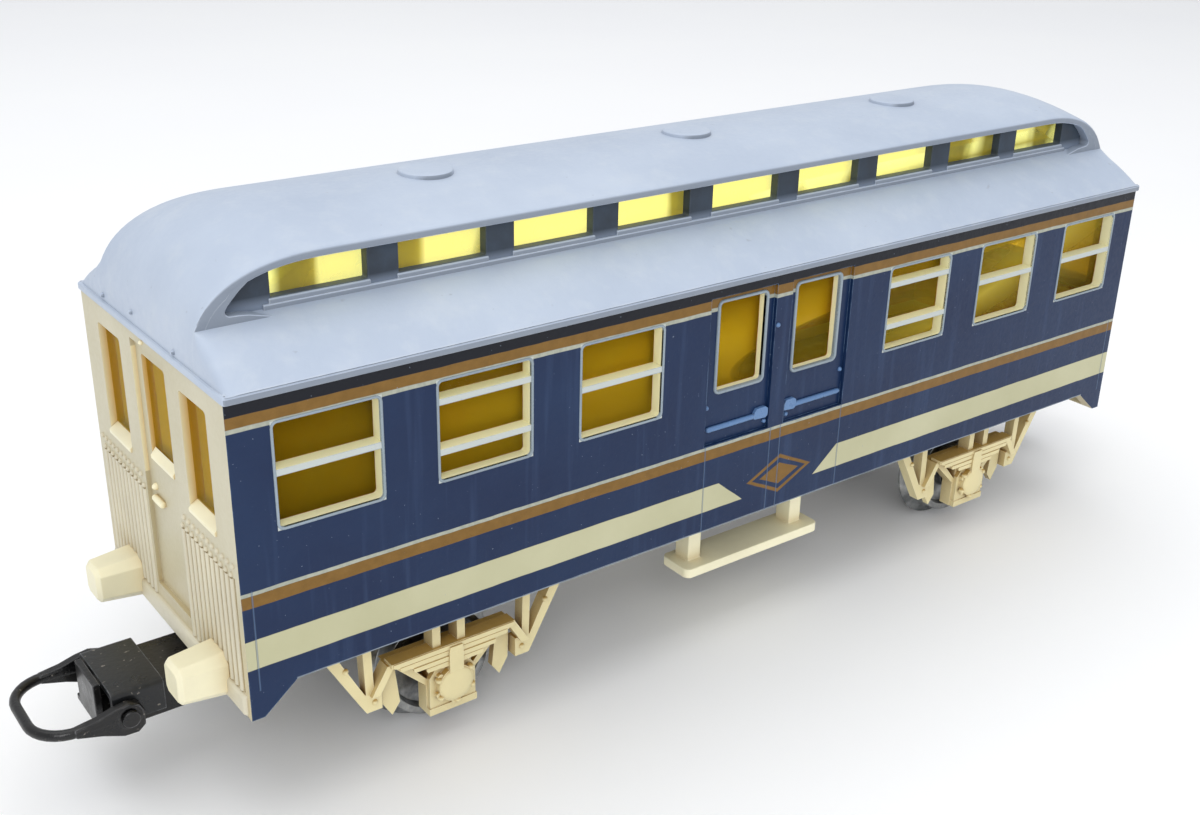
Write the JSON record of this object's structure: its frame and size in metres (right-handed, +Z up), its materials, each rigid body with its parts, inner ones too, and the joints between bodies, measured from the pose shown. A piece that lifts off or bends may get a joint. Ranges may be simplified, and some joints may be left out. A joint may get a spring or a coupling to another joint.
{
  "type": "model passenger coach",
  "caption": "Small-gauge model passenger coach: clerestory roof, windowed body with double doors, sprung-look axle guards, buffers, steps and loop couplers.",
  "frame": {"origin": "midway between the ends and the sides, on the level of the lowest points of the wheel flanges", "axes": "+X along the coach from its front end to its rear end, +Y to the right side, +Z up"},
  "size_m": [0.138, 0.0312, 0.0489],
  "materials": {
    "cream_moulding": "semi-gloss",
    "grey_moulding": "satin",
    "black_moulding": "matt",
    "ballast_steel": "plain",
    "amber_glazing": "clear amber",
    "pale_cream_moulding": "semi-gloss",
    "wheel_steel": "turned",
    "bush_plastic": "matt",
    "screw_steel": "plain",
    "coupler_cap": "dark grey, worn",
    "coupler_black": "black, worn"
  },
  "bodies": {
    "coach": {"body_shell": "cream_moulding", "roof": "grey_moulding", "chassis_floor": "black_moulding", "ballast_weight": "ballast_steel", "side_glazing_left": "amber_glazing", "side_glazing_right": "amber_glazing", "end_glazing_front": "amber_glazing", "end_glazing_rear": "amber_glazing", "clerestory_glazing_left": "amber_glazing", "clerestory_glazing_right": "amber_glazing", "step_board_left": "pale_cream_moulding", "step_board_right": "pale_cream_moulding", "coupler_screw_front": "screw_steel", "buffer_front_left": "pale_cream_moulding", "wheel_frame_front_left": "pale_cream_moulding", "buffer_front_right": "pale_cream_moulding", "wheel_frame_front_right": "pale_cream_moulding", "coupler_screw_rear": "screw_steel", "buffer_rear_left": "pale_cream_moulding", "wheel_frame_rear_left": "pale_cream_moulding", "buffer_rear_right": "pale_cream_moulding", "wheel_frame_rear_right": "pale_cream_moulding"},
    "wheelset_front": {"axle_front": "wheel_steel", "wheel_front_left": "wheel_steel", "wheel_front_right": "wheel_steel", "insulating_bush_front": "bush_plastic"},
    "coupler_front": {"coupler_drawbar_front": "coupler_black", "coupler_head_front": "coupler_cap", "loop_pin_front": "screw_steel"},
    "loop_front": {"coupling_loop_front": "coupler_black"},
    "wheelset_rear": {"axle_rear": "wheel_steel", "wheel_rear_left": "wheel_steel", "wheel_rear_right": "wheel_steel", "insulating_bush_rear": "bush_plastic"},
    "coupler_rear": {"coupler_drawbar_rear": "coupler_black", "coupler_head_rear": "coupler_cap", "loop_pin_rear": "screw_steel"},
    "loop_rear": {"coupling_loop_rear": "coupler_black"}
  },
  "joints": [
    {"name": "wheelset_spin_front", "type": "hinge", "parent": "coach", "child": "wheelset_front", "pos_m": [-0.0352, 0, 0.0065], "axis": [0, 1, 0], "continuous": true},
    {"name": "coupler_swing_front", "type": "hinge", "parent": "coach", "child": "coupler_front", "pos_m": [-0.046, 0, 0.0093], "axis": [0, 0, 1], "range_deg": [-15, 15]},
    {"name": "loop_lift_front", "type": "hinge", "parent": "coupler_front", "child": "loop_front", "pos_m": [-0.0614, 0, 0.0085], "axis": [0, 1, 0], "range_deg": [0, 35]},
    {"name": "wheelset_spin_rear", "type": "hinge", "parent": "coach", "child": "wheelset_rear", "pos_m": [0.0352, 0, 0.0065], "axis": [0, 1, 0], "continuous": true},
    {"name": "coupler_swing_rear", "type": "hinge", "parent": "coach", "child": "coupler_rear", "pos_m": [0.046, 0, 0.0093], "axis": [0, 0, 1], "range_deg": [-15, 15]},
    {"name": "loop_lift_rear", "type": "hinge", "parent": "coupler_rear", "child": "loop_rear", "pos_m": [0.0614, 0, 0.0085], "axis": [0, -1, 0], "range_deg": [0, 35]}
  ]
}
